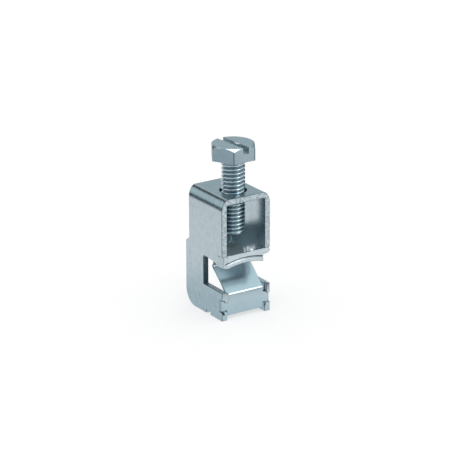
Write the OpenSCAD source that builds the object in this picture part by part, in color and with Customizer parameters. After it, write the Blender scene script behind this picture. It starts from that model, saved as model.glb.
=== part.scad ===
// Busbar clamp: a folded sheet frame with a hexagon clamping screw above its wire chamber,
// an open jaw for a flat bar below, and a thin bar spring staked into the ends of the jaw arms.
// Millimetres. +Z is up, the jaw opens towards -Y, and the origin is under the middle of the clamp.

/* [Frame] */
// Width over the two side plates
clamp_w = 14; // [12:0.5:18]
// Thickness of the folded sheet
sheet = 1.5; // [1.2:0.1:1.8]
// Inside radius of the folds
fold_r = 0.4; // [0.3:0.1:0.8]
// Depth of the box that holds the wire
box_depth = 14.9; // [13:0.1:18]
// Height of the wire chamber, from the front lip to the top of the frame
box_h = 14.5; // [12:0.5:20]
// Height from the foot to the top of the front lip
lip_top = 16.6; // [15.5:0.1:18]
// Radius of the lower back corner
heel_r = 4; // [2:0.5:6]
// Length of the slanted step where the plates widen behind the box
step_h = 1.2; // [0.6:0.1:2]

/* [Jaw] */
// Depth of the jaw from the front of the frame
jaw_depth = 8.4; // [7.8:0.1:9.5]
// Height of the jaw floor, where the bar rests on the arms
jaw_floor = 7.3; // [6.8:0.1:7.6]
// Clear height of the jaw at its back
jaw_gap = 7.55; // [7:0.05:7.8]
// Height that the jaw roof falls from its back to the start of the lip
jaw_fall = 0.4; // [0:0.1:0.6]
// Corner radius at the back of the jaw roof
jaw_r = 0.8; // [0.3:0.1:1.2]

/* [Lips] */
// Height of the front lip at its ends
lip_h = 3.3; // [2.8:0.1:3.6]
// Height that the lower edge of the front lip rises in the middle
lip_arch = 0.7; // [0.3:0.1:1]
// Height that the top of the lip falls towards the chamber
lip_fall = 0.5; // [0.2:0.1:0.8]
// Width of the pressed groove along the front lip
groove_w = 0.4; // [0.3:0.05:0.6]
// Depth of the pressed groove
groove_d = 0.2; // [0.1:0.05:0.3]
// Height of the groove's upper edge above the lower edge of the lip
groove_z = 1.4; // [1:0.1:1.7]
// Height of the tongue that locks the lip under the right plate
lock_h = 1.35; // [1:0.05:1.6]
// Height of the rear strip
strip_h = 6.3; // [5:0.1:6.6]
// Height of the rear strip's top above the top of the front lip
strip_rise = 0.9; // [0.6:0.1:1.2]
// Play between a folded end and the plate that it meets
fold_play = 0.12; // [0.05:0.01:0.2]

/* [Staked ends] */
// Lower edge of the slot for the spring's wings
slot_low = 2.36; // [2:0.02:2.6]
// Upper edge of the slot for the spring's wings
slot_high = 5.2; // [4.8:0.1:5.6]
// How far the staked ears on the left are spread inwards
ear_spread = 0.5; // [0.2:0.05:0.6]
// Width of a staked ear
ear_w = 1.3; // [1:0.1:1.5]
// Overlap of the upper ears over the spring's wings
ear_over = 0.7; // [0.3:0.1:1]
// Width of the chisel marks beside the ears on the right
mark_w = 0.5; // [0.3:0.05:0.7]
// Height of the notch in the foot
notch_h = 0.8; // [0.4:0.1:1.2]
// Length of the notch in the foot
notch_l = 1.9; // [1:0.1:3]
// Distance of the notch from the front
notch_y = 5.3; // [4:0.1:7]

/* [Screw] */
// Outside diameter of the thread
thread_d = 5.9; // [5:0.1:6.5]
// Pitch of the thread
pitch = 1; // [0.8:0.05:1.25]
// Length of the screw under its head
screw_l = 19; // [17:0.5:22]
// Width across the flats of the head
head_af = 10.4; // [9:0.1:11]
// Height of the head
head_h = 3.8; // [3:0.1:4.5]
// Width of the slot in the head
slot_w = 1.8; // [1.2:0.1:2]
// Depth of the slot in the head
slot_d = 1.55; // [1:0.05:2.2]
// Turn of the slot from front-to-back
slot_turn = 4; // [0:1:15]
// Distance of the screw axis behind the front of the frame
screw_y = 5.7; // [5.2:0.1:7]
// Height of the underside of the head above the frame
head_lift = 8.2; // [6:0.1:8.6]
// Radial play between the thread and its hole
thread_play = 0.04; // [0.02:0.01:0.08]
// Outside diameter of the drawn collar under the top of the frame
collar_d = 7.4; // [7:0.1:8.6]
// Height of the drawn collar
collar_h = 0.85; // [0.6:0.05:1.5]

/* [Spring] */
// Thickness of the spring sheet
spring_t = 0.45; // [0.3:0.05:0.5]
// Distance of the spring's front face behind the ends of the arms
spring_set = 0.5; // [0.3:0.05:0.6]
// Lower edge of the spring plate
plate_low = 1.05; // [0.6:0.05:1.4]
// Height where the plate and the leaf would meet without a bend
bend_z = 6.5; // [6.2:0.1:6.8]
// Inside radius of the bends
bend_r = 0.35; // [0.2:0.05:0.6]
// Rise of the leaf above the level
leaf_rise = 41.5; // [35:0.5:43]
// Distance of the fold at the leaf's end behind the front of the frame
leaf_end = 6.7; // [6:0.1:7]
// Lean of the tongue towards the front
tongue_lean = 5; // [0:1:8]
// Height of the tongue above the fold
tongue_h = 5.6; // [4:0.1:5.8]
// Width of the tongue
tongue_w = 7.4; // [6:0.1:8]
// Side play of the spring between the plates
spring_play = 0.2; // [0.1:0.05:0.3]

/* [Hidden] */
$fn = 48;
eps = 0.01;

half_w = clamp_w / 2;
inner = half_w - sheet;
fold_out = fold_r + sheet;
lip_back = fold_out + 1.6;
lip_end = inner - 0.4;
full_depth = box_depth + sheet;
top_z = lip_top + box_h;
roof_back = jaw_floor + jaw_gap;
roof_front = roof_back - jaw_fall;
lip_low = lip_top - lip_h;
strip_top = lip_top + strip_rise;
strip_low = strip_top - strip_h;
arch_r = (lip_end * lip_end + lip_arch * lip_arch) / (2 * lip_arch);
head_z = top_z + head_lift;
tip_z = head_z - screw_l;
thread_depth = 0.6134 * pitch;
slot_back = spring_set + spring_t;
spring_half = inner - spring_play;
leaf_z = bend_z + (leaf_end - spring_set) * tan(leaf_rise);

// Side outline of a plate, drawn with depth along X and height along Y
module plate_outline() {
    difference() {
        union() {
            square([box_depth, top_z]);
            polygon([
                [0, heel_r], [0, 0], [full_depth - heel_r, 0], [full_depth - heel_r, heel_r],
                [full_depth, heel_r], [full_depth, strip_top - step_h], [box_depth, strip_top], [0, top_z]
            ]);
            translate([full_depth - heel_r, heel_r]) circle(heel_r);
        }
        jaw_outline();
        translate([notch_y, -eps]) square([notch_l, notch_h + eps]);
        translate([-eps, slot_low]) square([slot_back + eps, slot_high - slot_low]);
        heel_waste();
    }
}

// What the round lower back corner leaves outside the plate
module heel_waste() {
    difference() {
        translate([full_depth - heel_r, -eps]) square([heel_r + sheet, heel_r + eps]);
        translate([full_depth - heel_r, heel_r]) circle(heel_r);
    }
}

// The jaw as seen from the side, open at the front
module jaw_outline() {
    difference() {
        polygon([
            [-sheet, jaw_floor], [jaw_depth, jaw_floor], [jaw_depth, roof_back],
            [lip_back, roof_front], [0, lip_low], [-sheet, lip_low]
        ]);
        difference() {
            translate([jaw_depth - jaw_r, roof_back - jaw_r]) square(2 * jaw_r);
            translate([jaw_depth - jaw_r, roof_back - jaw_r]) circle(jaw_r);
        }
    }
}

// Extrudes an outline drawn in depth and height across the clamp, from x0 over a width w
module across(x0, w) {
    translate([x0, 0, 0])
        rotate([90, 0, 90])
            linear_extrude(w) children();
}

// Front view of the folded box: two plates and the top, with round folds
module box_profile() {
    difference() {
        union() {
            translate([-half_w, 0]) square([clamp_w, top_z - fold_out]);
            translate([-half_w + fold_out, 0]) square([clamp_w - 2 * fold_out, top_z]);
            for (side = [-1, 1])
                translate([side * (half_w - fold_out), top_z - fold_out]) circle(fold_out);
        }
        translate([-inner, -eps]) square([2 * inner, top_z - sheet - fold_r + eps]);
        translate([-inner + fold_r, -eps]) square([2 * (inner - fold_r), top_z - sheet + eps]);
        for (side = [-1, 1])
            translate([side * (inner - fold_r), top_z - sheet - fold_r]) circle(fold_r);
    }
}

// Plan of a strip that folds round a corner at the origin and runs along +X for a length
module folded_plan(length) {
    difference() {
        translate([fold_out, fold_out]) circle(fold_out);
        translate([fold_out, fold_out]) circle(fold_r);
        translate([fold_out, -eps]) square([fold_out + eps, 2 * fold_out + 2 * eps]);
        translate([-eps, fold_out]) square([fold_out + 2 * eps, fold_out + eps]);
    }
    translate([fold_out, 0]) square([length - fold_out, sheet]);
}

// Places its child in front of the chamber, on the centre of the arch under the front lip
module at_arch() {
    translate([0, -eps, lip_low + lip_arch - arch_r])
        rotate([-90, 0, 0]) children();
}

// Front lip, folded from the left plate and locked under the front of the right plate
module front_lip() {
    difference() {
        union() {
            translate([-half_w, 0, lip_low])
                linear_extrude(lip_h) folded_plan(half_w + lip_end);
            translate([lip_end - eps, 0, lip_top - lock_h])
                cube([half_w - lip_end - lock_h / 2 + eps, sheet, lock_h]);
            translate([half_w - lock_h / 2, 0, lip_top - lock_h / 2])
                rotate([-90, 0, 0]) cylinder(d = lock_h, h = sheet);
        }
        at_arch() cylinder(r = arch_r, h = sheet + 2 * eps, $fn = 96);
        at_arch()
            difference() {
                cylinder(r = arch_r + groove_z, h = groove_d + eps, $fn = 96);
                translate([0, 0, -eps])
                    cylinder(r = arch_r + groove_z - groove_w, h = groove_d + 3 * eps, $fn = 96);
            }
        across(-half_w - eps, fold_out + eps) jaw_outline();
        across(-inner, inner + half_w + eps)
            polygon([
                [-eps, lip_top], [0, lip_top], [sheet + eps, lip_top - lip_fall],
                [sheet + eps, lip_top + eps], [-eps, lip_top + eps]
            ]);
    }
}

// Rear strip, folded from the right plate across the back of the wire chamber
module rear_strip() {
    translate([half_w, full_depth, strip_low])
        rotate([0, 0, 180])
            linear_extrude(strip_h) folded_plan(half_w + inner - fold_play);
}

// Extrudes a front view drawn in width and height, from the front plane over a depth
module behind_front(depth) {
    translate([0, depth, 0])
        rotate([90, 0, 0])
            linear_extrude(depth) children();
}

// Ears staked from the arms' ends over the corners of the spring plate
module ears() {
    left_x = -inner + ear_spread - ear_w;
    tip_r = ear_w / 2;
    low_r = tip_r - ear_spread / 4;
    ear_top = jaw_floor - 0.4;
    behind_front(spring_set) {
        // Upper left, round at its tip
        translate([left_x, slot_high - ear_over + tip_r])
            square([ear_w, ear_top - slot_high + ear_over - tip_r]);
        translate([left_x + tip_r, slot_high - ear_over + tip_r]) circle(tip_r);
        // Lower left
        translate([left_x, slot_low - 2 * low_r]) square([2 * low_r, low_r]);
        translate([left_x + low_r, slot_low - low_r]) circle(low_r);
        // Upper right, beside its chisel mark
        polygon([
            [inner + mark_w, slot_high + eps], [inner + mark_w, slot_high - ear_over / 2],
            [inner + mark_w + ear_spread, slot_high - ear_over], [half_w, slot_high - ear_over / 2],
            [half_w, slot_high + eps]
        ]);
    }
}

// Chisel marks in the arms' ends, beside the ears
module chisel_marks() {
    mark_depth = 1.1;
    translate([0, -eps, 0])
        behind_front(mark_depth + eps) {
            polygon([
                [inner - eps, jaw_floor + eps], [inner + mark_w, jaw_floor + eps],
                [inner + mark_w, slot_high - eps], [inner - eps, slot_high - eps]
            ]);
            polygon([
                [inner - eps, slot_low + eps], [inner + mark_w / 2, slot_low + eps],
                [inner, slot_low - 1.4], [inner - eps, slot_low - 1.4]
            ]);
            polygon([
                [-half_w - eps, slot_low + eps], [-half_w - eps, slot_low - 0.1],
                [-half_w + mark_w, slot_low - 0.9], [-half_w + mark_w + 0.3, slot_low - 0.7],
                [-half_w + 0.3, slot_low + eps]
            ]);
        }
}

module frame() {
    color("lightsteelblue")
    translate([0, -full_depth / 2, 0])
    difference() {
        union() {
            difference() {
                intersection() {
                    behind_front(full_depth) box_profile();
                    across(-half_w, clamp_w) plate_outline();
                }
                // Room for the front fold on the left plate
                translate([-half_w - eps, -eps, lip_low - eps])
                    cube([sheet + 2 * eps, fold_out + eps, lip_h + eps]);
                // Room for the lock tongue under the right plate
                translate([inner - eps, -eps, jaw_floor + eps])
                    cube([sheet + 2 * eps, sheet + fold_play, lip_top + fold_play - jaw_floor]);
                // Lower front corner of the right plate, cut back behind the lip
                translate([inner - eps, -eps, jaw_floor + eps])
                    cube([sheet + 2 * eps, lip_back + eps, roof_front - jaw_floor - eps]);
                // Room for the rear fold on the right plate
                translate([inner - eps, full_depth - fold_out, strip_low])
                    cube([sheet + 2 * eps, fold_out + eps, strip_h]);
                chisel_marks();
            }
            front_lip();
            rear_strip();
            ears();
            // Drawn collar
            translate([0, screw_y, top_z - sheet - collar_h])
                cylinder(d = collar_d, h = collar_h + eps);
        }
        // Tapped hole
        translate([0, screw_y, top_z - sheet - collar_h - eps])
            cylinder(r = thread_d / 2 + thread_play, h = sheet + collar_h + 2 * eps);
    }
}

// Turned outline of the thread: one groove for each pitch, and a chamfered end
module thread_outline(length) {
    run_out = 0.8;
    turns = floor((length - run_out) / pitch);
    major = thread_d / 2;
    minor = major - thread_depth;
    grooves = [
        for (i = [0 : turns - 1]) each [
            [major, thread_depth + i * pitch + pitch * 0.06],
            [minor, thread_depth + i * pitch + pitch * 0.44],
            [minor, thread_depth + i * pitch + pitch * 0.56],
            [major, thread_depth + i * pitch + pitch * 0.94]
        ]
    ];
    polygon(concat([[0, 0], [minor, 0], [major, thread_depth]], grooves, [[major, length], [0, length]]));
}

module clamp_screw() {
    corner_r = head_af / sqrt(3);
    chamfer = (corner_r - head_af / 2) * tan(30);
    color("silver")
    translate([0, screw_y - full_depth / 2, tip_z]) {
        rotate_extrude() thread_outline(screw_l + eps);
        translate([0, 0, screw_l])
            difference() {
                intersection() {
                    cylinder(r = corner_r, h = head_h, $fn = 6);
                    rotate_extrude()
                        polygon([
                            [0, 0], [corner_r + eps, 0], [corner_r + eps, head_h - chamfer],
                            [head_af / 2, head_h], [0, head_h]
                        ]);
                }
                rotate([0, 0, slot_turn])
                    translate([-slot_w / 2, -head_af, head_h - slot_d])
                        cube([slot_w, 2 * head_af, slot_d + eps]);
            }
    }
}

function heading(a) = [cos(a), sin(a)];

// Points of an arc that rounds the corner p between an incoming and an outgoing direction
function rounded(p, a_in, a_out, r) =
    let(
        turn = a_out - a_in,
        side = sign(turn),
        start = p - r * tan(abs(turn) / 2) * heading(a_in),
        centre = start + side * r * heading(a_in + 90),
        steps = 6
    )
    [for (i = [0 : steps]) centre - side * r * heading(a_in + turn * i / steps + 90)];

// Side outline of the spring: plate, bend, leaf, fold and tongue, as one strip of even thickness
module spring_outline() {
    tongue_rise = 90 + tongue_lean;
    low_bend = [spring_set, bend_z];
    high_bend = [leaf_end, leaf_z];
    end = high_bend + tongue_h * heading(tongue_rise);
    low_turn = (90 - leaf_rise) / 2;
    high_turn = (tongue_rise - leaf_rise) / 2;
    behind_tongue = spring_t * heading(tongue_rise - 90);
    polygon(concat(
        [[spring_set, plate_low]],
        rounded(low_bend, 90, leaf_rise, bend_r + spring_t),
        rounded(high_bend, leaf_rise, tongue_rise, bend_r),
        [end, end + behind_tongue],
        rounded(
            high_bend + behind_tongue - spring_t * tan(high_turn) * heading(tongue_rise),
            tongue_rise + 180, leaf_rise + 180, bend_r + spring_t
        ),
        rounded(low_bend + spring_t * [1, -tan(low_turn)], leaf_rise + 180, 270, bend_r),
        [[spring_set + spring_t, plate_low]]
    ));
}

// Front view of the spring: plate with wings, leaf, and the tongue that narrows above the fold
module spring_front() {
    wing_play = 0.04;
    shoulder = 0.3;
    shoulder_h = 1;
    slope_h = 2.9;
    top_half = tongue_w / 8;
    top = leaf_z + tongue_h * cos(tongue_lean);
    translate([-spring_half, plate_low]) square([2 * spring_half, leaf_z - plate_low]);
    translate([-half_w, slot_low + wing_play])
        square([clamp_w, slot_high - slot_low - 2 * wing_play]);
    polygon([
        [-spring_half, leaf_z - eps], [spring_half, leaf_z - eps],
        [spring_half - shoulder, leaf_z + shoulder_h], [tongue_w / 2, leaf_z + 2 * shoulder_h],
        [tongue_w / 2, top - slope_h], [top_half, top], [-top_half, top],
        [-tongue_w / 2, top - slope_h], [-tongue_w / 2, leaf_z + 2 * shoulder_h],
        [-spring_half + shoulder, leaf_z + shoulder_h]
    ]);
}

module bar_spring() {
    color("gainsboro")
    translate([0, -full_depth / 2, 0])
        intersection() {
            across(-half_w, clamp_w) spring_outline();
            behind_front(full_depth) spring_front();
        }
}

frame();
clamp_screw();
bar_spring();
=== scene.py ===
"""Dresses the busbar clamp: camera, studio, zinc finishes, the cut thread and the marks of its making.

The frame and the bar spring are finished copies of their CAD nodes. The screw is built anew, with a helical
thread and a slotted head. Lengths are in metres.
"""
import math

import bmesh
import bpy
from mathutils import Matrix, Vector, noise
from mathutils.bvhtree import BVHTree


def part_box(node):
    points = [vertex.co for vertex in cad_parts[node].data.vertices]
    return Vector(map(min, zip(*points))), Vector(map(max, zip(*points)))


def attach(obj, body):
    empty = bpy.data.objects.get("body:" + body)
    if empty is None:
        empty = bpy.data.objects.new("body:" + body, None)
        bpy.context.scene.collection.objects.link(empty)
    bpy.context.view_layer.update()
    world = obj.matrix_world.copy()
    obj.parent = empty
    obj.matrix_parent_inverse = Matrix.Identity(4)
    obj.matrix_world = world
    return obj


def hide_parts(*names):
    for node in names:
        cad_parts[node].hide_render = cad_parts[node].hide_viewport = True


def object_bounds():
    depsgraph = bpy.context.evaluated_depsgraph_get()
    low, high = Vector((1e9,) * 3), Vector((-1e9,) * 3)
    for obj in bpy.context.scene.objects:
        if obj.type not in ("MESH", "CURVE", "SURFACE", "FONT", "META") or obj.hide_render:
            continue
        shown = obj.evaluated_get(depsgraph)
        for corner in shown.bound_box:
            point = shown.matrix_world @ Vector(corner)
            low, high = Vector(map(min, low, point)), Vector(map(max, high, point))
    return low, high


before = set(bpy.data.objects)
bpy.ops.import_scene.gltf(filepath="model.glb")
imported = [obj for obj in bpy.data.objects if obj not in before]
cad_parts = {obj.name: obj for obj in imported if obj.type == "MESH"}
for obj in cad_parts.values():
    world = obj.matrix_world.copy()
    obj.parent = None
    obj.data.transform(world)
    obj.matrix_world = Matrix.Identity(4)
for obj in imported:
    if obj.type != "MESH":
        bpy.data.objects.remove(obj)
cad_low, cad_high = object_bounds()
frame_low, frame_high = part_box("frame")
screw_low, screw_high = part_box("clamp_screw")

# Camera of the photograph, as worked out from the clamp's own edges, with angles in degrees. It looks past
# a point of the clamp, which lies that many pixels right of the picture's middle and below it.
CAMERA_AZIMUTH = -33.106
CAMERA_ELEVATION = 20.249
CAMERA_ROLL = -0.149
CAMERA_DISTANCE = 0.5753
FOCAL_PIXELS = 2344.1
IMAGE_PIXELS = 458
SENSOR_WIDTH_MM = 36
TARGET_BEHIND_FRONT = 0.00653
TARGET_HEIGHT = 0.0166
TARGET_RIGHT_PIXELS = 2.39
TARGET_DOWN_PIXELS = 15.71

# Places of the finishes in the materials of the two sheets
SHEET_FINISH = 0
CUT_FINISH = 1
# Painted shade: the dark finish of rounded edges and recesses
PAINTED_SHADE_FINISH = 2
# Painted highlight: the brighter finish of the lip's front and the staked ears
PAINTED_HIGHLIGHT_FINISH = 3
# Painted shade: the dark finish of the spring's tongue
PAINTED_TONGUE_SHADE_FINISH = 3

# Places of the finishes in the materials of the screw, whose thread has the first
SIDE_OF_SCREW = 1
SLOT_OF_SCREW = 2
# Painted shade: the dark finish of the head's rounded edges and of a line beside each corner
PAINTED_SHADE_OF_SCREW = 3
BURR_OF_SCREW = 4

# How far the zinc's roughness varies below and above its named value
GLOSS_BELOW = 0.06
GLOSS_ABOVE = 0.08

# Painted shade at the thread's root and painted highlight at its crest, as factors of its brightness
PAINTED_ROOT_SHADE = 0.42
PAINTED_CREST_HIGHLIGHT = 1.36

# Play in looking up a vertex or a face by its place, and in joining vertices that lie on each other
TINY = 1e-5
NEAR = 2e-5
WELD = 1e-6

# Edges sharper than SHARP_ANGLE are rounded, those flatter than SMOOTH_ANGLE are shaded smooth, and those
# flatter than FLAT_ANGLE are dissolved
SHARP_ANGLE = math.radians(40)
SMOOTH_ANGLE = math.radians(50)
FLAT_ANGLE = math.radians(0.5)

# Widths of the rounded edges
FRAME_ROUND = 0.00011
SPRING_ROUND = 0.00008
HEAD_ROUND = 0.0001

# The frame's side plates lie further out than PLATE_INSIDE, and its closed box stands above BOX_LOW
PLATE_INSIDE = 0.00549
BOX_LOW = 0.0175

# Where the lip lies: in front of LIP_BACK, between these heights, and this far to either side
LIP_BACK = -0.0066
LIP_LOW = 0.0132
LIP_HIGH = 0.0166
LIP_HALF_WIDTH = 0.0069

# The lip's pressed front with its rounded edges, which get a painted highlight up to LIP_BRIGHT_HIGH, and its
# groove
LIP_FRONT_DEPTH = 0.0003
LIP_FRONT_LOW = 0.0126
LIP_FRONT_HIGH = 0.0168
LIP_BRIGHT_HIGH = 0.0163
GROOVE_DEPTH = 0.0002

# The cut face at the back of the jaw lies at most this far behind the middle
THROAT_BACK = 0.0004

# How far the fronts of the staked ears lie behind the lip, and how high they reach
EAR_REACH = 0.0025
EAR_TOP = 0.0078

# The two upper bends: the solids' round, and the longer fall that the folded sheet shows
BEND_X = 0.0051
BEND_Z = 0.0292
BEND_RADIUS = 0.0019
BEND_FALL = 0.0031

# The screw's hole in the top, and its rim
HOLE_RADIUS = 0.003
HOLE_PLAY = 0.0001
HOLE_FLARE = 0.00335

# Height from which the spring is its tongue, which gets painted shade inside the chamber
TONGUE_LOW = 0.0138

# The thread: crest, root and run-out are shares of the pitch, and its rings are counted per pitch
THREAD_RADIUS = 0.00295
THREAD_PITCH = 0.001
THREAD_DEPTH = 0.00061
THREAD_CREST = 0.06
THREAD_ROOT = 0.44
THREAD_RUNOUT = 0.35
THREAD_POINTS = 96
THREAD_RINGS = 14

# The head, from its washer face to the round chamfer of its top, and the levels of its sides that get a
# line of painted shade beside each corner
HEAD_FLATS = 0.0104
HEAD_HEIGHT = 0.0038
HEAD_POINTS = 180
WASHER_RADIUS = HEAD_FLATS / 2 * 0.93
WASHER_HEIGHT = 0.0001
UNDER_ROUND = 0.0001
EDGE_ROUND = 0.00006
CHAMFER_ANGLE = math.radians(35)
CHAMFER_RADIUS = HEAD_FLATS / 2 - 0.00012
CHAMFER_LEAST = 0.00003
CORNER_SHADE_LEVELS = (1, 2, 3)

# The slot, which the screwdriver and the cutter have left uneven
SLOT_WIDTH = 0.0018
SLOT_DEPTH = 0.00155
SLOT_TURN = math.radians(4)
SLOT_TAPER = 0.00012
SLOT_WANDER = 0.00008
SLOT_REACH = HEAD_FLATS * 0.6
SLOT_ABOVE = 0.001
SLOT_STEPS = 60

# The burr on the slot's right wall: its ends, how it leans over the slot, and where the wall holds it
BURR_START = -0.0017
BURR_END = 0.0007
BURR_REACH = 0.00036
BURR_LEAST = 0.00006
BURR_DROOP = 0.4
BURR_RAGGED = 0.4
BURR_SWELL = 0.6
BURR_IN_WALL = 0.00005
BURR_BELOW_TOP = 0.00001
BURR_FOOT = 0.00025
BURR_STEPS = 28

# Noise of the slot's walls and floor, and of the burr: its scale and its row
LEFT_WALL_NOISE = (1400, 3)
RIGHT_WALL_NOISE = (1400, 9)
SLOT_FLOOR_NOISE = (900, 15)
BURR_NOISE = (1700, 21)

# The studio: light of the room, and the floor's own grey with what it glows for camera and metal
ROOM_LIGHT = 0.75
ROOM_SEEN = 1.0
FLOOR_SIZE = 20
FLOOR_GREY = 0.65
FLOOR_GLOW = 0.53


def add_camera():
    """The photograph's view, aimed so that the clamp lies where it does there."""
    a = math.radians(CAMERA_AZIMUTH)
    e = math.radians(CAMERA_ELEVATION)
    roll = math.radians(CAMERA_ROLL)
    back = Vector((math.sin(a) * math.cos(e), -math.cos(a) * math.cos(e), math.sin(e)))
    level = Vector((math.cos(a), math.sin(a), 0))
    upright = back.cross(level)
    right = level * math.cos(roll) + upright * math.sin(roll)
    up = upright * math.cos(roll) - level * math.sin(roll)
    target = Vector((0, frame_low.y + TARGET_BEHIND_FRONT, TARGET_HEIGHT))
    eye = target + back * CAMERA_DISTANCE
    pixel = CAMERA_DISTANCE / FOCAL_PIXELS
    aim = target - right * (TARGET_RIGHT_PIXELS * pixel) + up * (TARGET_DOWN_PIXELS * pixel)
    look = (eye - aim).normalized()
    side = up.cross(look).normalized()
    top = look.cross(side)

    data = bpy.data.cameras.new("photo_camera")
    data.sensor_width = SENSOR_WIDTH_MM
    data.lens = FOCAL_PIXELS / IMAGE_PIXELS * data.sensor_width
    data.clip_start = 0.01
    data.clip_end = 10
    camera = add_object("photo_camera", data)
    camera.matrix_world = Matrix((
        (side.x, top.x, look.x, eye.x),
        (side.y, top.y, look.y, eye.y),
        (side.z, top.z, look.z, eye.z),
        (0, 0, 0, 1),
    ))
    bpy.context.scene.camera = camera


def add_object(name, data):
    """Links a mesh or a camera to the scene as an object."""
    obj = bpy.data.objects.new(name, data)
    bpy.context.scene.collection.objects.link(obj)
    return obj


def add_node(tree, kind, inputs=None, **settings):
    """A shader node with its settings and its unlinked inputs."""
    node = tree.nodes.new(kind)
    for name, value in settings.items():
        setattr(node, name, value)
    for name, value in (inputs or {}).items():
        node.inputs[name].default_value = value
    return node


def add_tint(tree, start, dark, end, light):
    """A ramp from a dark to a light colour, between two levels of a noise."""
    tint = add_node(tree, "ShaderNodeValToRGB")
    low, high = tint.color_ramp.elements
    low.position, high.position = start, end
    low.color = (*dark, 1)
    high.color = (*light, 1)
    return tint


def new_metal(name):
    """A new metal: its material, its node tree and its shader."""
    material = bpy.data.materials.new(name)
    material.use_nodes = True
    tree = material.node_tree
    shader = tree.nodes["Principled BSDF"]
    shader.inputs["Metallic"].default_value = 1
    return material, tree, shader


def zinc(name, base, roughness, mottle=0.08, bump=0.3, streaks=(1, 1, 1)):
    """Zinc plating: a metal with faint cloudy colour, uneven gloss and a fine grain, drawn out by streaks."""
    material, tree, shader = new_metal(name)
    links = tree.links
    dark = [c * (1 - mottle) for c in base]
    light = [min(1, c * (1 + mottle)) for c in base]
    place = add_node(tree, "ShaderNodeTexCoord")
    cloud = add_node(tree, "ShaderNodeTexNoise", {"Scale": 700.0, "Detail": 5.0, "Roughness": 0.65})
    tint = add_tint(tree, 0.3, dark, 0.7, light)
    stretch = add_node(tree, "ShaderNodeMapping", {"Scale": streaks})
    grain = add_node(tree, "ShaderNodeTexNoise", {"Scale": 2400.0, "Detail": 3.0, "Roughness": 0.6})
    gloss = add_node(tree, "ShaderNodeMapRange", {
        "To Min": roughness - GLOSS_BELOW,
        "To Max": roughness + GLOSS_ABOVE,
    })
    dents = add_node(tree, "ShaderNodeBump", {"Strength": bump, "Distance": 0.00003})
    links.new(place.outputs["Object"], cloud.inputs["Vector"])
    links.new(place.outputs["Object"], stretch.inputs["Vector"])
    links.new(stretch.outputs["Vector"], grain.inputs["Vector"])
    links.new(cloud.outputs["Fac"], tint.inputs["Fac"])
    links.new(tint.outputs["Color"], shader.inputs["Base Color"])
    links.new(grain.outputs["Fac"], gloss.inputs["Value"])
    links.new(gloss.outputs["Result"], shader.inputs["Roughness"])
    links.new(grain.outputs["Fac"], dents.inputs["Height"])
    links.new(dents.outputs["Normal"], shader.inputs["Normal"])
    return material


def paint_thread_shade_and_highlight(material):
    """Paints shade on a thread's material towards its roots, and a highlight towards its crests."""
    tree = material.node_tree
    links = tree.links
    shader = tree.nodes["Principled BSDF"]
    colour = shader.inputs["Base Color"].links[0].from_socket
    place = add_node(tree, "ShaderNodeTexCoord")
    flat = add_node(tree, "ShaderNodeMapping", {"Scale": (1, 1, 0)})
    length = add_node(tree, "ShaderNodeVectorMath", operation="LENGTH")
    depth = add_node(tree, "ShaderNodeMapRange", {
        "From Min": THREAD_RADIUS - THREAD_DEPTH,
        "From Max": THREAD_RADIUS,
        "To Min": PAINTED_ROOT_SHADE,
        "To Max": PAINTED_CREST_HIGHLIGHT,
    })
    shade = add_node(tree, "ShaderNodeVectorMath", operation="SCALE")
    links.new(place.outputs["Object"], flat.inputs["Vector"])
    links.new(flat.outputs["Vector"], length.inputs[0])
    links.new(length.outputs["Value"], depth.inputs["Value"])
    links.new(colour, shade.inputs[0])
    links.new(depth.outputs["Result"], shade.inputs["Scale"])
    links.new(shade.outputs["Vector"], shader.inputs["Base Color"])
    return material


def sheared_zinc(name, dark, light):
    """The sheared edge of the sheet: torn, coarse metal with bright and dark flecks."""
    material, tree, shader = new_metal(name)
    links = tree.links
    shader.inputs["Roughness"].default_value = 0.36
    place = add_node(tree, "ShaderNodeTexCoord")
    tears = add_node(tree, "ShaderNodeTexNoise", {"Scale": 2600.0, "Detail": 4.0, "Roughness": 0.7})
    tint = add_tint(tree, 0.38, dark, 0.6, light)
    dents = add_node(tree, "ShaderNodeBump", {"Strength": 0.9, "Distance": 0.00005})
    links.new(place.outputs["Object"], tears.inputs["Vector"])
    links.new(tears.outputs["Fac"], tint.inputs["Fac"])
    links.new(tint.outputs["Color"], shader.inputs["Base Color"])
    links.new(tears.outputs["Fac"], dents.inputs["Height"])
    links.new(dents.outputs["Normal"], shader.inputs["Normal"])
    return material


def is_sheared(face):
    """Whether a face of the frame is a sheared edge of the sheet, not one of its two rolled sides.

    Here and below, a part of the face's normal near 1 or -1 means that the face looks along that axis.
    """
    middle = face.calc_center_median()
    if middle.y < LIP_BACK and LIP_LOW < middle.z < LIP_HIGH and abs(middle.x) < LIP_HALF_WIDTH:
        return abs(face.normal.z) > 0.8
    if abs(middle.x) > PLATE_INSIDE and middle.z < BEND_Z:
        return abs(face.normal.x) < 0.5
    return abs(face.normal.y) > 0.7 and middle.z > BOX_LOW


def settle_bends(bm):
    """Lets the outside of the upper bends start lower on the side plates."""
    for vert in bm.verts:
        out = abs(vert.co.x) - BEND_X
        up = vert.co.z - BEND_Z
        if out > -TINY and up > -TINY and abs(math.hypot(out, up) - BEND_RADIUS) < NEAR:
            vert.co.z = BEND_Z + BEND_RADIUS - BEND_FALL * (1 - up / BEND_RADIUS)


def flare_hole(bm):
    """Opens the rim of the screw's hole to a small countersink, with painted shade on its right."""
    axis = (screw_low + screw_high) / 2
    rim = set()
    for vert in bm.verts:
        away = Vector((vert.co.x - axis.x, vert.co.y - axis.y))
        if vert.co.z > frame_high.z - TINY and away.length < HOLE_RADIUS + HOLE_PLAY:
            away *= HOLE_FLARE / away.length
            vert.co.x = axis.x + away.x
            vert.co.y = axis.y + away.y
            rim.add(vert)
    for face in bm.faces:
        if abs(face.normal.z) < 0.5 and any(vert in rim for vert in face.verts):
            on_right = face.calc_center_median().x > axis.x
            face.material_index = PAINTED_SHADE_FINISH if on_right else SHEET_FINISH


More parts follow.
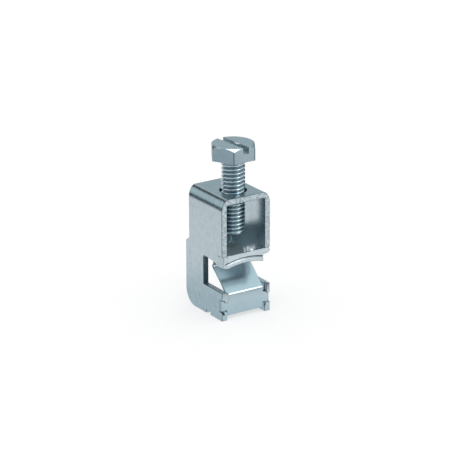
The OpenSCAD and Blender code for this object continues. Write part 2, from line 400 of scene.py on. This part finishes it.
def finish_frame(bm):
    """Gives the faces of the frame their finishes, and lets its bends and its hole settle."""
    for face in bm.faces:
        middle = face.calc_center_median()
        in_throat = face.normal.y < -0.9 and 0 < middle.y < THROAT_BACK and middle.x < 0
        in_groove = face.normal.y < -0.9 and abs(middle.y - frame_low.y - GROOVE_DEPTH) < NEAR
        on_ear = face.normal.y < -0.7 and middle.y < frame_low.y + EAR_REACH and middle.z < EAR_TOP
        # Painted shade on the cut face at the back of the jaw and on the floor of the lip's groove
        if in_throat or in_groove:
            face.material_index = PAINTED_SHADE_FINISH
        # Painted highlight on the staked ears
        elif on_ear:
            face.material_index = PAINTED_HIGHLIGHT_FINISH
        else:
            face.material_index = CUT_FINISH if is_sheared(face) else SHEET_FINISH
    settle_bends(bm)
    flare_hole(bm)


def soften_edges(bm, width):
    """Rounds the sharp edges. A corner that would stand out goes back to the surface, and the box is kept."""
    plain = BVHTree.FromBMesh(bm)
    low = [min(vert.co[axis] for vert in bm.verts) for axis in range(3)]
    high = [max(vert.co[axis] for vert in bm.verts) for axis in range(3)]
    sharp = [edge for edge in bm.edges if edge.calc_face_angle(0) > SHARP_ANGLE]
    # The rounds get the finish of painted shade
    bmesh.ops.bevel(
        bm, geom=sharp, offset=width, offset_type="OFFSET", segments=2, profile=0.5,
        affect="EDGES", clamp_overlap=False, material=PAINTED_SHADE_FINISH,
    )
    for vert in bm.verts:
        nearest, _, _, distance = plain.find_nearest(vert.co)
        if distance > width * 0.5:
            vert.co = nearest
        vert.co = [max(least, min(most, at)) for least, most, at in zip(low, high, vert.co)]


def paint_lip_highlight(face):
    """Paints a highlight on the pressed front of the lip, on its faces and its upper edges."""
    middle = face.calc_center_median()
    if middle.y >= frame_low.y + LIP_FRONT_DEPTH or not LIP_FRONT_LOW < middle.z < LIP_FRONT_HIGH:
        return
    if face.material_index == PAINTED_SHADE_FINISH and face.normal.z > 0.2:
        face.material_index = PAINTED_HIGHLIGHT_FINISH if middle.z < LIP_BRIGHT_HIGH else CUT_FINISH
    elif face.material_index == SHEET_FINISH and face.normal.y < -0.5:
        face.material_index = PAINTED_HIGHLIGHT_FINISH


def paint_tongue_shade(face):
    """Paints shade on the tongue of the spring, also on its edges."""
    if face.calc_center_median().z > TONGUE_LOW:
        face.material_index = PAINTED_TONGUE_SHADE_FINISH


def finished_mesh(name, bm, materials):
    """Turns a bmesh into a mesh with its materials."""
    mesh = bpy.data.meshes.new(name)
    bm.to_mesh(mesh)
    bm.free()
    for material in materials:
        mesh.materials.append(material)
    return mesh


def dress(name, body, materials, width):
    """A finished copy of a CAD node: whole faces, soft edges, and smooth bends between flat faces."""
    bm = bmesh.new()
    bm.from_mesh(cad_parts[name].data)
    bmesh.ops.remove_doubles(bm, verts=bm.verts, dist=WELD)
    bmesh.ops.dissolve_limit(bm, angle_limit=FLAT_ANGLE, verts=bm.verts, edges=bm.edges)
    if name == "frame":
        finish_frame(bm)
    soften_edges(bm, width)
    for face in bm.faces:
        face.smooth = True
        if name == "frame":
            paint_lip_highlight(face)
        else:
            paint_tongue_shade(face)
    for edge in bm.edges:
        edge.smooth = edge.calc_face_angle(0) < SMOOTH_ANGLE
    piece = add_object(name + "_dressed", finished_mesh(name + "_dressed", bm, materials))
    flat = piece.modifiers.new("flat_faces", "WEIGHTED_NORMAL")
    flat.keep_sharp = True
    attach(piece, body)
    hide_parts(name)


def add_vert(bm, radius, angle, z):
    """A vertex at a distance from the axis, an angle and a height."""
    return bm.verts.new((radius * math.cos(angle), radius * math.sin(angle), z))


def join_rings(bm, rings):
    """Joins rings of vertices to a closed solid: its faces ring by ring, and last its two ends."""
    faces = []
    for low, high in zip(rings, rings[1:]):
        for index in range(len(low)):
            after = (index + 1) % len(low)
            faces.append(bm.faces.new((low[index], low[after], high[after], high[index])))
    faces.append(bm.faces.new(list(reversed(rings[0]))))
    faces.append(bm.faces.new(rings[-1]))
    return faces


def thread_radius(turn, z, length):
    """Radius of the thread at an angle, in turns, and a height above the chamfered tip."""
    phase = (z / THREAD_PITCH - turn) % 1
    away = min(phase, 1 - phase)
    fall = min(1, max(0, (away - THREAD_CREST) / (THREAD_ROOT - THREAD_CREST)))
    cut = min(1, max(0, (length - z) / THREAD_PITCH - THREAD_RUNOUT))
    radius = THREAD_RADIUS - THREAD_DEPTH * fall * cut
    return min(radius, THREAD_RADIUS - THREAD_DEPTH + z)


def add_thread(bm, length):
    """The helical thread, as rings from the tip up to the head."""
    steps = int(length / THREAD_PITCH * THREAD_RINGS)
    turns = [index / THREAD_POINTS for index in range(THREAD_POINTS)]
    rings = []
    for step in range(steps + 1):
        z = length * step / steps
        rings.append([add_vert(bm, thread_radius(turn, z, length), math.tau * turn, z) for turn in turns])
    for face in join_rings(bm, rings)[:-2]:
        face.smooth = True


def hexagon_radius(angle):
    """Distance from the axis to the side of the hexagon, which has a corner on the X axis."""
    sector = math.radians(60)
    return HEAD_FLATS / 2 / math.cos((angle % sector) - sector / 2)


def head_profile(angle):
    """Radius, angle and height of the head's levels: washer face, underside, flat, chamfer and top."""
    outer = hexagon_radius(angle)
    fall = max(CHAMFER_LEAST, (outer - CHAMFER_RADIUS) * math.tan(CHAMFER_ANGLE))
    return (
        (WASHER_RADIUS, angle, 0),
        (outer - UNDER_ROUND, angle, WASHER_HEIGHT),
        (outer, angle, WASHER_HEIGHT + UNDER_ROUND),
        (outer, angle, HEAD_HEIGHT - fall - EDGE_ROUND / 2),
        (outer - EDGE_ROUND / 2, angle, HEAD_HEIGHT - fall),
        (min(CHAMFER_RADIUS, outer - EDGE_ROUND), angle, HEAD_HEIGHT),
    )


def head_mesh(materials):
    """The hexagon head, with a line of painted shade beside each corner."""
    bm = bmesh.new()
    profiles = [head_profile(math.tau * index / HEAD_POINTS) for index in range(HEAD_POINTS)]
    rings = [[add_vert(bm, *place) for place in level] for level in zip(*profiles)]
    faces = join_rings(bm, rings)
    for face in faces:
        face.material_index = SIDE_OF_SCREW
    flat = HEAD_POINTS // 6
    for level in CORNER_SHADE_LEVELS:
        for beside_corner in range(flat - 1, HEAD_POINTS, flat):
            faces[level * HEAD_POINTS + beside_corner].material_index = PAINTED_SHADE_OF_SCREW
    return finished_mesh("head", bm, materials)


def wander(y, scale, row):
    """A smooth noise along Y, of about -1 to 1."""
    return noise.noise(Vector((y * scale, row, 0)))


def slot_cutter(materials):
    """A box for the slot whose walls wander a little, as a worn cutter leaves them."""
    half = SLOT_WIDTH / 2
    bm = bmesh.new()
    sections = []
    for step in range(SLOT_STEPS + 1):
        y = -SLOT_REACH + 2 * SLOT_REACH * step / SLOT_STEPS
        left = wander(y, *LEFT_WALL_NOISE) * SLOT_WANDER
        right = wander(y, *RIGHT_WALL_NOISE) * SLOT_WANDER
        floor = wander(y, *SLOT_FLOOR_NOISE) * SLOT_WANDER / 2
        sections.append([
            bm.verts.new((-half + SLOT_TAPER + left, y, HEAD_HEIGHT - SLOT_DEPTH + floor)),
            bm.verts.new((half - SLOT_TAPER + right, y, HEAD_HEIGHT - SLOT_DEPTH + floor)),
            bm.verts.new((half + right * 2, y, HEAD_HEIGHT + SLOT_ABOVE)),
            bm.verts.new((-half + left * 2, y, HEAD_HEIGHT + SLOT_ABOVE)),
        ])
    faces = join_rings(bm, sections)
    bmesh.ops.recalc_face_normals(bm, faces=faces)
    for face in faces:
        face.material_index = SLOT_OF_SCREW
    return finished_mesh("slot_cutter", bm, materials)


def slotted_head(materials):
    """The mesh of the head with its slot cut and its edges softened."""
    head = add_object("screw_head", head_mesh(materials))
    cutter = add_object("slot_cutter", slot_cutter(materials))
    cutter.rotation_euler.z = SLOT_TURN
    cut = head.modifiers.new("slot", "BOOLEAN")
    cut.object = cutter
    cut.solver = "EXACT"
    soft = head.modifiers.new("edges", "BEVEL")
    soft.width = HEAD_ROUND
    soft.segments = 2
    soft.limit_method = "ANGLE"
    soft.angle_limit = SHARP_ANGLE
    # The rounded edges of the head get painted shade
    soft.material = PAINTED_SHADE_OF_SCREW
    depsgraph = bpy.context.evaluated_depsgraph_get()
    slotted = bpy.data.meshes.new_from_object(head.evaluated_get(depsgraph))
    bpy.data.objects.remove(head)
    bpy.data.objects.remove(cutter)
    return slotted


def add_burr(bm):
    """A ragged curl of metal that a screwdriver has pushed over the edge of the slot."""
    edge = SLOT_WIDTH / 2 + BURR_IN_WALL
    sections = []
    for step in range(BURR_STEPS + 1):
        share = step / BURR_STEPS
        y = BURR_START + (BURR_END - BURR_START) * share
        swell = math.sin(math.pi * share) ** BURR_SWELL
        ragged = 1 + BURR_RAGGED * wander(y, *BURR_NOISE)
        reach = BURR_LEAST + BURR_REACH * swell * ragged
        sections.append([
            bm.verts.new((edge, y, HEAD_HEIGHT - BURR_BELOW_TOP)),
            bm.verts.new((edge - reach, y, HEAD_HEIGHT - BURR_BELOW_TOP - reach * BURR_DROOP)),
            bm.verts.new((edge, y, HEAD_HEIGHT - BURR_FOOT)),
        ])
    faces = join_rings(bm, sections)
    bmesh.ops.recalc_face_normals(bm, faces=faces)
    for face in faces:
        face.material_index = BURR_OF_SCREW


def add_screw(materials):
    """The clamping screw: helical thread and slotted head, in place of the plain CAD screw."""
    length = screw_high.z - screw_low.z - HEAD_HEIGHT
    middle = (screw_low + screw_high) / 2
    head = slotted_head(materials)
    bm = bmesh.new()
    add_thread(bm, length)
    thread_verts = len(bm.verts)
    bm.from_mesh(head)
    bpy.data.meshes.remove(head)
    add_burr(bm)
    bm.verts.ensure_lookup_table()
    for vert in bm.verts[thread_verts:]:
        vert.co.z += length
    screw = add_object("screw_cut", finished_mesh("screw", bm, materials))
    screw.location = (middle.x, middle.y, screw_low.z)
    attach(screw, "screw")
    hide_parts("clamp_screw")


def seen_share(tree):
    """A socket that is 1 where camera, metal or glass looks, and 0 for the light on the object."""
    path = add_node(tree, "ShaderNodeLightPath")
    either = add_node(tree, "ShaderNodeMath", operation="MAXIMUM")
    any_of = add_node(tree, "ShaderNodeMath", operation="MAXIMUM")
    tree.links.new(path.outputs["Is Camera Ray"], either.inputs[0])
    tree.links.new(path.outputs["Is Glossy Ray"], either.inputs[1])
    tree.links.new(either.outputs["Value"], any_of.inputs[0])
    tree.links.new(path.outputs["Is Transmission Ray"], any_of.inputs[1])
    return any_of.outputs["Value"]


def add_room():
    """A white room, which camera and metal see at the strength of white."""
    world = bpy.data.worlds.new("studio")
    bpy.context.scene.world = world
    world.use_nodes = True
    tree = world.node_tree
    links = tree.links
    light = tree.nodes["Background"]
    light.inputs["Color"].default_value = (1, 1, 1, 1)
    light.inputs["Strength"].default_value = ROOM_LIGHT
    seen = add_node(tree, "ShaderNodeBackground", {"Color": (1, 1, 1, 1), "Strength": ROOM_SEEN})
    mix = add_node(tree, "ShaderNodeMixShader")
    links.new(seen_share(tree), mix.inputs["Fac"])
    links.new(light.outputs["Background"], mix.inputs[1])
    links.new(seen.outputs["Background"], mix.inputs[2])
    links.new(mix.outputs["Shader"], tree.nodes["World Output"].inputs["Surface"])


def add_floor():
    """A plain pale floor that camera and metal see as white, and that keeps a soft shadow."""
    bpy.ops.mesh.primitive_plane_add(size=FLOOR_SIZE, location=(0, 0, cad_low.z))
    floor = bpy.context.object
    floor.name = "floor"
    material = bpy.data.materials.new("floor_white")
    material.use_nodes = True
    tree = material.node_tree
    shader = tree.nodes["Principled BSDF"]
    shader.inputs["Base Color"].default_value = (FLOOR_GREY, FLOOR_GREY, FLOOR_GREY, 1)
    shader.inputs["Roughness"].default_value = 1
    shader.inputs["Specular IOR Level"].default_value = 0
    shader.inputs["Emission Color"].default_value = (1, 1, 1, 1)
    lift = add_node(tree, "ShaderNodeMath", {1: FLOOR_GLOW}, operation="MULTIPLY")
    tree.links.new(seen_share(tree), lift.inputs[0])
    tree.links.new(lift.outputs["Value"], shader.inputs["Emission Strength"])
    floor.data.materials.append(material)


def direction(azimuth, elevation):
    """Unit vector towards an azimuth, counted from +X towards +Y, and an elevation."""
    a = math.radians(azimuth)
    e = math.radians(elevation)
    return Vector((math.cos(a) * math.cos(e), math.sin(a) * math.cos(e), math.sin(e)))


def glowing(name, color):
    """A material that glows in one colour, with its node tree and the node of its glow."""
    material = bpy.data.materials.new(name)
    material.use_nodes = True
    tree = material.node_tree
    tree.nodes.remove(tree.nodes["Principled BSDF"])
    glow = add_node(tree, "ShaderNodeEmission", {"Color": (*color, 1), "Strength": 1.0})
    tree.links.new(glow.outputs["Emission"], tree.nodes["Material Output"].inputs["Surface"])
    return material, tree, glow


def show_in_metal_only(obj):
    """Hides an object from the camera, and keeps it from lighting or shading what isn't glossy."""
    obj.visible_camera = False
    obj.visible_diffuse = False
    obj.visible_shadow = False


def add_card(name, height_above, azimuth, elevation, distance, width, height, color):
    """A studio card that only the metal sees: darker than the white room, or a glowing softbox.

    It faces a point above the middle of the floor. Its width and height are angles as seen from there.
    """
    toward = direction(azimuth, elevation)
    middle = Vector((0, 0, height_above))
    bpy.ops.mesh.primitive_plane_add(size=1, location=middle + toward * distance)
    card = bpy.context.object
    card.name = name
    card.rotation_euler = (-toward).to_track_quat("-Z", "Y").to_euler()
    card.scale = (
        2 * distance * math.tan(math.radians(width / 2)),
        2 * distance * math.tan(math.radians(height / 2)),
        1,
    )
    material, _, _ = glowing(name, color)
    card.data.materials.append(material)
    show_in_metal_only(card)


def add_floor_patch(name, x, y, lift, width, depth, color, fading=0.6):
    """A darker patch just above the floor that only the metal sees. Its outer share fades out."""
    bpy.ops.mesh.primitive_plane_add(size=2, location=(x, y, lift))
    patch = bpy.context.object
    patch.name = name
    patch.scale = (width / 2, depth / 2, 1)
    material, tree, glow = glowing(name, color)
    links = tree.links
    place = add_node(tree, "ShaderNodeTexCoord")
    fade = add_node(tree, "ShaderNodeTexGradient", gradient_type="SPHERICAL")
    spread = add_node(tree, "ShaderNodeMapRange", {"From Max": fading})
    clear = add_node(tree, "ShaderNodeBsdfTransparent")
    mix = add_node(tree, "ShaderNodeMixShader")
    links.new(place.outputs["Object"], fade.inputs["Vector"])
    links.new(fade.outputs["Fac"], spread.inputs["Value"])
    links.new(spread.outputs["Result"], mix.inputs["Fac"])
    links.new(clear.outputs["BSDF"], mix.inputs[1])
    links.new(glow.outputs["Emission"], mix.inputs[2])
    links.new(mix.outputs["Shader"], tree.nodes["Material Output"].inputs["Surface"])
    patch.data.materials.append(material)
    show_in_metal_only(patch)


def add_studio():
    """Room, floor, and what the metal mirrors as light and dark bands.

    A card's numbers are its point's height, azimuth, elevation, distance, width, height and colour, with
    angles in degrees. A patch's are x, y, lift, width, depth, colour and, for one, the share that fades.
    """
    add_room()
    add_floor()
    add_card("card_horizon", 0.028, 125, -7, 0.12, 70, 13, (0.03, 0.07, 0.09))
    add_card("card_bend_line", 0.03, 101, 35, 0.3, 30, 19, (0.03, 0.055, 0.065))
    add_card("card_back_right", 0.035, 55, 19, 0.4, 50, 28, (0.47, 0.57, 0.6))
    add_card("card_head_left", 0.041, -177, -16, 0.085, 60, 14, (0.44, 0.56, 0.61))
    add_card("card_head_low", 0.041, -177, -26, 0.085, 60, 6, (0.08, 0.13, 0.15))
    add_card("card_head_right", 0.041, -57, -20, 0.1, 50, 9, (0.34, 0.46, 0.48))
    add_card("card_right", 0.03, 20, -3, 0.12, 50, 54, (0.03, 0.04, 0.045))
    add_card("card_right_high", 0.03, 20, 34, 0.14, 50, 22, (0.4, 0.52, 0.58))
    add_card("card_over_right", 0.01, -26, 57, 0.4, 44, 34, (0.74, 0.88, 0.91))
    # Painted shadow: the floor's darkening near the clamp, as the metal mirrors it
    add_floor_patch("patch_painted_floor_shadow", 0, 0.004, 0.00005, 0.07, 0.07, (0.68, 0.78, 0.81))
    add_card("card_bend", 0.03, 115, 14, 0.5, 44, 30, (0.66, 0.79, 0.82))
    add_card("card_over_left", 0.02, -155, 55, 0.4, 60, 40, (0.28, 0.38, 0.42))
    add_floor_patch("patch_tongue", 0.015, -0.0268, 0.0001, 0.036, 0.0104, (0.0, 0.01, 0.015), 0.25)
    add_floor_patch("patch_front", -0.036, -0.056, 0.0001, 0.09, 0.06, (0.3, 0.4, 0.42))
    add_card("card_over_front", 0.03, -112, 40, 0.4, 40, 60, (0.5, 0.62, 0.66))
    add_card("softbox_front", 0.03, -64, 34, 0.5, 16, 56, (5.0, 5.0, 5.0))
    add_card("softbox_top", 0.04, 45, 86, 0.5, 44, 44, (3.0, 3.0, 3.0))


bpy.context.scene.view_settings.view_transform = "Standard"
add_camera()
add_studio()

sheet_zinc = zinc("zinc_sheet", (0.44, 0.515, 0.555), 0.22)
# The thread's zinc, with painted shade at its roots and a painted highlight at its crests
thread_zinc_painted_shade = paint_thread_shade_and_highlight(zinc("zinc_thread_painted_shade", (0.46, 0.56, 0.61), 0.2, mottle=0.05, bump=0.08))
screw_zinc = zinc("zinc_screw", (0.44, 0.515, 0.56), 0.26, streaks=(1, 1, 0.08))
spring_zinc = zinc("spring_sheet", (0.52, 0.62, 0.67), 0.2, mottle=0.03, bump=0.08)
cut_zinc = sheared_zinc("zinc_sheared", (0.28, 0.35, 0.38), (0.66, 0.74, 0.78))
# Painted shade for rounded edges, recesses and the head's corners
painted_shade_zinc = zinc("zinc_painted_shade", (0.1, 0.135, 0.15), 0.3, mottle=0.3)
# Painted highlight for the lip's front and the staked ears
painted_highlight_zinc = zinc("zinc_painted_highlight", (0.56, 0.64, 0.68), 0.2, mottle=0.05)
# Painted shade for the spring's tongue inside the chamber
painted_tongue_shade_zinc = zinc("spring_painted_tongue_shade", (0.17, 0.225, 0.245), 0.24, mottle=0.1, bump=0.08)
# Painted shade for the spring's rounded edges
painted_rim_shade_zinc = zinc("spring_painted_rim_shade", (0.18, 0.24, 0.26), 0.3, mottle=0.2)
burr_zinc = zinc("zinc_burr", (0.72, 0.8, 0.83), 0.22, mottle=0.1)

frame_finishes = (sheet_zinc, cut_zinc, painted_shade_zinc, painted_highlight_zinc)
spring_finishes = (spring_zinc, spring_zinc, painted_rim_shade_zinc, painted_tongue_shade_zinc)
screw_finishes = (thread_zinc_painted_shade, screw_zinc, cut_zinc, painted_shade_zinc, burr_zinc)
dress("frame", "clamp", frame_finishes, FRAME_ROUND)
dress("bar_spring", "clamp", spring_finishes, SPRING_ROUND)
add_screw(screw_finishes)
